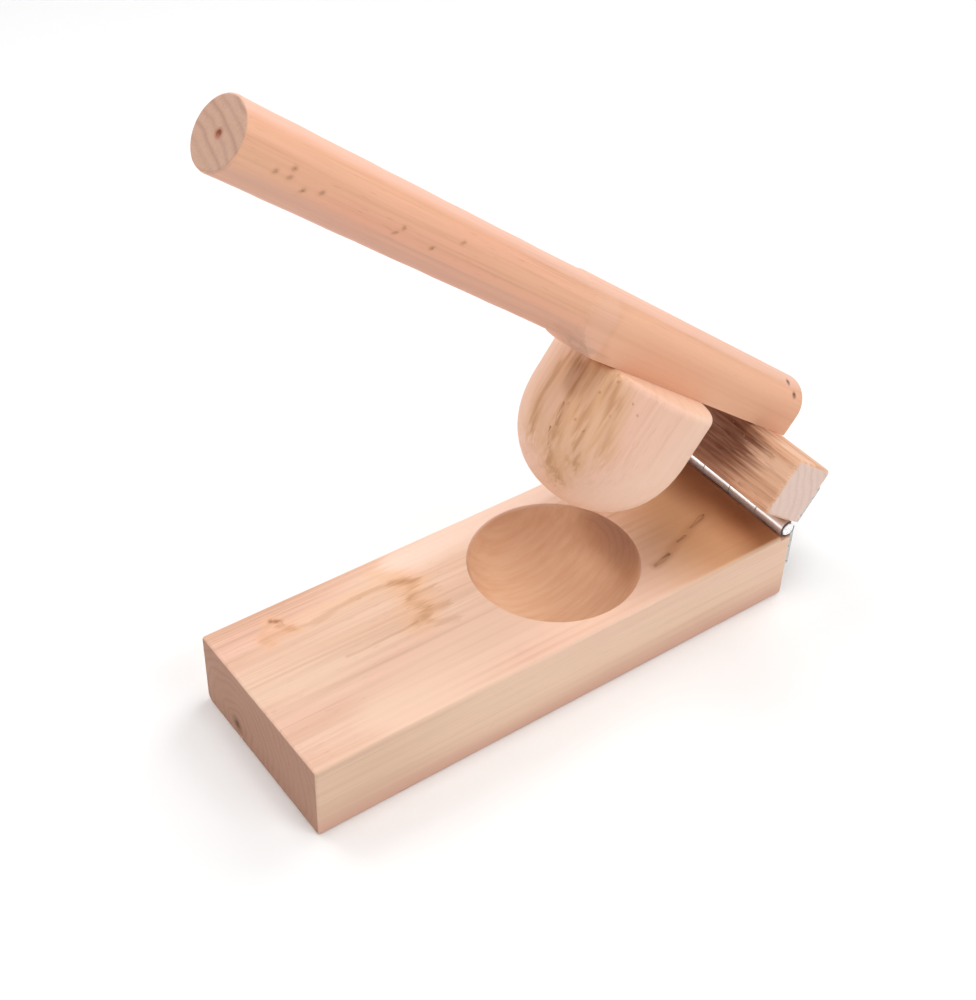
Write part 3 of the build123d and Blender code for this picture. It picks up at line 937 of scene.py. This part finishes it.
def saw_mark(number, low):
    """A tool for one of the saw marks that are scattered over the crossbar's front."""
    z = low.z + 3.4 + 21.5 * ((number * 0.618) % 1.0)
    y = low.y + 6 + 50 * ((number * 0.377) % 1.0)
    length = 14 + 22 * ((number * 0.731) % 1.0)
    shares = (0, 0.25, 0.5, 0.75, 1)
    points = [(low.x, y + length * share, z + 0.35 * sin(9 * share + number)) for share in shares]
    return crack(points, 0.3, 0.25, (1, 0, 0))


def make_crossbar(material):
    """Square stick with eased edges, the step for the knuckles, and saw marks left on its front."""
    low = Vector((LEAF_SEAT - CROSSBAR_DEPTH, BOARD_LOW.y, FLAT_HEIGHT - CROSSBAR_HEIGHT))
    high = Vector((LEAF_SEAT, BOARD_HIGH.y, FLAT_HEIGHT))
    bar = block("crossbar_stick", low, high)
    edit(bar)
    slice_at(1, [low.y + (high.y - low.y) * step / 8 for step in range(1, 8)])
    inner = high.y - 1
    choose("VERT", lambda vertex: vertex.co.x < 0 and vertex.co.z < high.z - 1 and abs(vertex.co.y) < inner)
    bpy.ops.transform.vertex_random(offset=CROSSBAR_UNEVENNESS, seed=8)
    ease_sharp(CROSSBAR_EASE, 5)
    close_edit()
    step = KNUCKLE_RELIEF
    shape(bar, [block("step_tool", (-step, low.y - 9, -step), (LEAF_SEAT + 9, high.y + 9, step))])
    shape(bar, pilot_tools(1))
    shape(bar, [saw_mark(number, low) for number in range(SAW_MARKS)])
    shape(bar, [dowel_hole(spot, CROSSBAR_DOWEL_SIZE, -1) for spot in CROSSBAR_DOWELS.values()])
    settle(bar, LEVER, material, "lever", ["crossbar"])


def dowel_hole(spot, size, way):
    """The blind hole of a dowel, from the lever's flat down or up."""
    radius, half = size
    hole = turned("dowel_hole", [(radius, -1 * way), (radius, (half + GLUE_SPACE) * way)], sides=40)
    return turn_to(hole, (0, 0, 1), (*spot, FLAT_HEIGHT))


def dome_ring(share):
    """A ring of the dome, which is rounder than a ball, at a share of its height."""
    radius = PLUNGER_RADIUS * (1 - share**DOME_FULLNESS) ** (1 / DOME_FULLNESS)
    return radius, -PLUNGER_WALL - DOME_HEIGHT * share


def make_plunger(material):
    """Turned block: rounded rim, straight wall and full dome, with the weather cracks of its wood."""
    rim = arc_points((PLUNGER_RADIUS - PLUNGER_RIM, -PLUNGER_RIM), PLUNGER_RIM, 90, -90, 7)
    wall = [(PLUNGER_RADIUS, -PLUNGER_WALL * share) for share in (0.5, 1.0)]
    dome = [dome_ring(sin(radians(90) * step / 26)) for step in range(1, 26)]
    plunger = turned("dome_plunger", rim + wall + dome + [(0, -PLUNGER_WALL - DOME_HEIGHT)], sides=144)
    turn_to(plunger, (0, 0, 1), (-BOWL_FROM_PIVOT, 0, FLAT_HEIGHT))
    tools = []
    for line in PLUNGER_CRACKS:
        middle = Vector(line[len(line) // 2])
        tools.append(crack(line, 0.18, 0.25, Vector((-BOWL_FROM_PIVOT, 0, middle.z)) - middle))
    tools += [pit(place, (0.2, 0.2, 0.35)) for place in PLUNGER_SPECKS]
    shape(plunger, tools)
    shape(plunger, [dowel_hole(spot, PLUNGER_DOWEL_SIZE, -1) for spot in PLUNGER_DOWELS.values()])
    settle(plunger, LEVER, material, "lever", ["plunger"])


def shoulder_points(steps):
    """The shoulder's outline, from the grip out to the square blank, as a soft S."""
    ends = [
        (GRIP_RADIUS, SHOULDER_START),
        (GRIP_RADIUS, SHOULDER_START + 5.0),
        (BLANK_RADIUS - 2.7, SHOULDER_END - 13.0),
        (BLANK_RADIUS, SHOULDER_END),
    ]
    points = []
    for t in [step / steps for step in range(steps + 1)]:
        weights = ((1 - t) ** 3, 3 * t * (1 - t) ** 2, 3 * t * t * (1 - t), t**3)
        points.append([sum(weight * end[k] for weight, end in zip(weights, ends)) for k in (0, 1)])
    return points


def make_handle(material):
    """Stick with a rounded back, planed flat underneath, its grip turned round with a shoulder."""
    low, high = (HANDLE_FRONT - 1, -HEAD_HALF, -HEAD_DROP), (HANDLE_REAR, HEAD_HALF, HEAD_HALF)
    stick = block("lever_handle", low, high)
    edit(stick)
    choose("EDGE", lambda edge: runs_along(edge, 0) and middle_of(edge).z > 0)
    round_edges(HEAD_HALF - 0.02, 22)
    to_handle = HANDLE.inverted() @ LEVER
    flat_point = (to_handle @ (Vector((-BOWL_FROM_PIVOT, 0, FLAT_HEIGHT)) * MM)) / MM
    flat_normal = to_handle.to_3x3() @ Vector((0, 0, 1))
    select_mesh()
    bpy.ops.mesh.bisect(plane_co=flat_point, plane_no=flat_normal, use_fill=True, clear_inner=True)
    choose("EDGE", lambda edge: all(vertex.co.x > HANDLE_REAR - 0.01 for vertex in edge.verts))
    round_edges(HEAD_END_EASE, 6)
    face_outwards()
    end = arc_points((GRIP_RADIUS - GRIP_END_EASE, HANDLE_FRONT + GRIP_END_EASE), GRIP_END_EASE, -90, 90, 5)
    grip = []
    for step in range(GRIP_RINGS + 1):
        worn = 0.08 + 0.08 * sin(2.3 * step)
        x = HANDLE_FRONT + 6 + (SHOULDER_START - HANDLE_FRONT - 12) * step / GRIP_RINGS
        grip.append((GRIP_RADIUS - worn, x))
    outline = end + grip + shoulder_points(14) + [(BLANK_RADIUS, HANDLE_REAR + 5)]
    blank = turn_to(turned("turned_blank", outline, sides=112), (1, 0, 0), (0, 0, 0))
    shape(stick, [blank], "INTERSECT")
    tools = [turn_to(turned("dot_tool", DOT_HOLE, sides=20), (1, 0, 0), HANDLE_DOT)]
    tools += [pit(place, (0.45, 0.3, 0.35)) for place in HANDLE_SPECKS]
    tools += [pit(place, (1.3, 0.9, 0.9)) for place in HEAD_DENTS]
    shape(stick, tools)
    holes = [dowel_hole(spot, PLUNGER_DOWEL_SIZE, 1) for spot in PLUNGER_DOWELS.values()]
    holes += [dowel_hole(spot, CROSSBAR_DOWEL_SIZE, 1) for spot in CROSSBAR_DOWELS.values()]
    to_handle_mm = Matrix.Scale(1 / MM, 4) @ to_handle @ Matrix.Scale(MM, 4)
    for hole in holes:
        only(hole)
        hole.matrix_world = to_handle_mm
        apply_place()
    shape(stick, holes)
    settle(stick, HANDLE, material, "lever", ["handle"])


def in_flute(vertex, radius):
    """Tells the flutes from the rest of a dowel's wall: every fourth of its 64 upright rows."""
    side = vertex.co.xy
    return side.length > radius - 0.1 and round(32 * side.angle_signed(Vector((1, 0))) / pi) % 4 == 0


def make_dowels(material):
    """Fluted dowels with chamfered ends."""
    groups = ((PLUNGER_DOWELS, PLUNGER_DOWEL_SIZE), (CROSSBAR_DOWELS, CROSSBAR_DOWEL_SIZE))
    for spots, (radius, half) in groups:
        for node, spot in spots.items():
            end = [(radius - DOWEL_CHAMFER, -half), (radius, DOWEL_CHAMFER - half)]
            outline = end + [(across, -height) for across, height in reversed(end)]
            dowel = turned(f"fluted_{node}", outline, sides=64)
            edit(dowel)
            choose("VERT", lambda vertex: in_flute(vertex, radius))
            resize((0.93, 0.93, 1), (0, 0, 0))
            turn_to(dowel, (0, 0, 1), (*spot, FLAT_HEIGHT))
            settle(dowel, LEVER, material, "lever", [node])


def at_corner(place, height, aside):
    return place.z < height and abs(place.y) > aside


def make_leaf(name, node, directions, body, up, slots, material):
    """Leaf cut from sheet: its knuckles are rolled round the pin from tongues of the same sheet."""
    half = (HINGE_LENGTH - KNUCKLE_GAP) / 2
    pitch = HINGE_LENGTH / KNUCKLE_COUNT
    shoulder = -(KNUCKLE_RADIUS + KNUCKLE_GAP)
    spans = [(slot * pitch - half, slot * pitch - half + pitch - KNUCKLE_GAP) for slot in slots]
    leaf = block(name, (LEAF_SEAT, -half, -LEAF_REACH), (LEAF_SEAT + LEAF_THICKNESS, half, shoulder))
    edit(leaf)
    slice_at(1, [cut for span in spans for cut in span if abs(cut) < half - 0.1])
    low_corners = (shoulder - 5, half - 1)
    choose("EDGE", lambda edge: runs_along(edge, 0) and at_corner(middle_of(edge), *low_corners))
    round_edges(LEAF_CORNER, 6)
    for start, end in spans:
        choose("FACE", lambda face: face.normal.z > 0.9 and start < face.calc_center_median().y < end)
        extrude((0, 0, -shoulder))
        bpy.ops.mesh.spin(steps=22, angle=radians(-292), center=(0, 0, 0), axis=(0, 1, 0))
    select_mesh()
    bpy.ops.mesh.remove_doubles(threshold=0.001)
    if up > 0:
        resize((1, 1, -1), (0, 0, 0))
    face_outwards()
    close_edit()
    seat = LEAF_SEAT + LEAF_THICKNESS
    hole = SCREW_RADIUS + 0.15
    sink = [(SCREW_HEAD_RADIUS + 0.6, seat + 0.5), (hole, seat - 1.75), (hole, LEAF_SEAT - 1)]
    shape(leaf, at_screws(sink, 32, up))
    rounding = leaf.modifiers.new("worn_edges", "BEVEL")
    rounding.width = 0.22
    rounding.segments = 2
    rounding.limit_method = "ANGLE"
    rounding.angle_limit = radians(50)
    only(leaf)
    bpy.ops.object.modifier_apply(modifier=rounding.name)
    settle(leaf, directions, material, body, [node])


def make_pin(material):
    """Pin with both ends riveted over."""
    half = (HINGE_LENGTH - KNUCKLE_GAP) / 2
    edge, rise = half + 0.25, PIN_HEAD_HEIGHT - 0.25
    turns = [radians(90) * step / 7 for step in range(7)]
    cap = [(PIN_HEAD_RADIUS * cos(turn), edge + rise * sin(turn)) for turn in turns]
    upper = [(PIN_RADIUS, half), (PIN_HEAD_RADIUS, half)] + cap + [(0, half + PIN_HEAD_HEIGHT)]
    lower = [(radius, -height) for radius, height in reversed(upper[:-1])]
    pin = turned("rivet_pin", lower + upper, sides=48)
    turn_to(pin, (0, 1, 0), (0, 0, 0))
    settle(pin, BASE, material, "base", ["hinge_pin"])


def make_screws(material):
    """Countersunk cross-head wood screws, modelled once and set in each hole at its own turn."""
    depth = SCREW_HEAD_RADIUS - SCREW_RADIUS
    outline = [(SCREW_HEAD_RADIUS - 0.15, 0), (SCREW_HEAD_RADIUS, -0.15)]
    outline += [(SCREW_RADIUS, -depth), (SCREW_RADIUS * 0.8, -depth - 3)]
    height = -depth - 3.2
    while height > -SCREW_LENGTH + 4:
        outline += [(THREAD_CORE, height), (SCREW_RADIUS, height - 0.45), (THREAD_CORE, height - 0.9)]
        height -= THREAD_PITCH
    outline += [(1.2, -SCREW_LENGTH + 2.5), (0, -SCREW_LENGTH)]
    screw = turned("screw_pattern", outline, sides=32)
    recess = []
    for size in ((4.2, 0.85), (0.85, 4.2)):
        arm = block("recess_tool", (-size[0] / 2, -size[1] / 2, -1.3), (size[0] / 2, size[1] / 2, 0.5))
        edit(arm)
        choose("FACE", lambda face: face.normal.z < -0.9)
        bpy.ops.transform.resize(value=(0.55, 0.55, 1))
        close_edit()
        recess.append(arm)
    shape(screw, recess)
    seat = LEAF_SEAT + LEAF_THICKNESS
    turns = iter((12, 67, 38, 81, 25, 52))
    for body, directions, up in (("base", BASE, -1), ("lever", LEVER, 1)):
        for number, (y, out) in enumerate(SCREW_SPOTS, 1):
            only(screw)
            bpy.ops.object.duplicate(linked=False)
            copy = bpy.context.object
            node = f"{body}_leaf_screw_{number}"
            copy.name = f"cross_{node}"
            upright = Matrix.Translation((seat, y, up * out)) @ Matrix.Rotation(radians(90), 4, "Y")
            copy.matrix_world = upright @ Matrix.Rotation(radians(next(turns)), 4, "Z")
            apply_place()
            settle(copy, directions, material, body, [node])
    bpy.data.objects.remove(screw)


def soft_light(name, place, size, power):
    """A square light that faces the object."""
    light = bpy.data.lights.new(name, "AREA")
    light.size = size
    light.energy = power
    holder = bpy.data.objects.new(name, light)
    bpy.context.scene.collection.objects.link(holder)
    holder.location = place
    holder.rotation_mode = "QUATERNION"
    holder.rotation_quaternion = (Vector(LIGHT_TARGET) - Vector(place)).to_track_quat("-Z", "Y")


def make_room():
    room = bpy.data.worlds.new("room")
    bpy.context.scene.world = room
    room.use_nodes = True
    nodes, links = room.node_tree.nodes, room.node_tree.links
    direction = nodes.new("ShaderNodeTexCoord")
    split = nodes.new("ShaderNodeSeparateXYZ")
    height = nodes.new("ShaderNodeMapRange")
    for socket, value in ROOM_LIGHT.items():
        height.inputs[socket].default_value = value
    links.new(direction.outputs["Generated"], split.inputs[0])
    links.new(split.outputs["Z"], height.inputs["Value"])
    links.new(height.outputs["Result"], nodes["Background"].inputs["Strength"])
    nodes["Background"].inputs["Color"].default_value = (1.0, 1.0, 1.0, 1.0)


hinge_steel = steel_finish("hinge_steel", (0.58, 0.57, 0.56, 1), (700, 40, 700), (0.98, 0.975, 0.97, 1))
screw_steel = steel_finish("screw_steel", (0.72, 0.70, 0.66, 1), (900, 900, 900))

make_board(board_finish())
make_crossbar(crossbar_finish())
make_plunger(plunger_finish())
make_handle(handle_finish())
make_dowels(dowel_finish())
make_leaf("rolled_base_leaf", "hinge_base_leaf", BASE, "base", -1, (0, 2, 4), hinge_steel)
make_leaf("rolled_lever_leaf", "hinge_lever_leaf", LEVER, "lever", 1, (1, 3), hinge_steel)
make_pin(hinge_steel)
make_screws(screw_steel)

# Floor, light and camera
select_none()
bpy.ops.mesh.primitive_circle_add(vertices=128, radius=FLOOR_RADIUS, fill_type="NGON", location=(0, 0, 0))
floor = bpy.context.object
floor.name = "floor"
floor_finish = Finish("floor_finish")
floor_finish.shader.inputs["Base Color"].default_value = (0.95, 0.95, 0.95, 1.0)
floor_finish.shader.inputs["Roughness"].default_value = 0.9
floor.data.materials.append(floor_finish.material)

for name, place, size, power in LIGHTS:
    soft_light(name, place, size, power)
make_room()

azimuth, elevation, roll = radians(CAMERA_AZIMUTH), radians(CAMERA_ELEVATION), radians(CAMERA_ROLL)
back = Vector((sin(azimuth) * cos(elevation), -cos(azimuth) * cos(elevation), sin(elevation)))
right = (-back).cross(Vector((0, 0, 1))).normalized()
down = (-back).cross(right)
right, down = right * cos(roll) + down * sin(roll), down * cos(roll) - right * sin(roll)
camera_data = bpy.data.cameras.new("camera")
camera_data.lens = CAMERA_LENS
camera_data.sensor_width = 36.0
camera = bpy.data.objects.new("camera", camera_data)
bpy.context.scene.collection.objects.link(camera)
camera.matrix_world = Matrix.Translation(CAMERA_PLACE) @ Matrix((right, -down, back)).transposed().to_4x4()
bpy.context.scene.camera = camera
bpy.context.scene.view_settings.view_transform = "Standard"
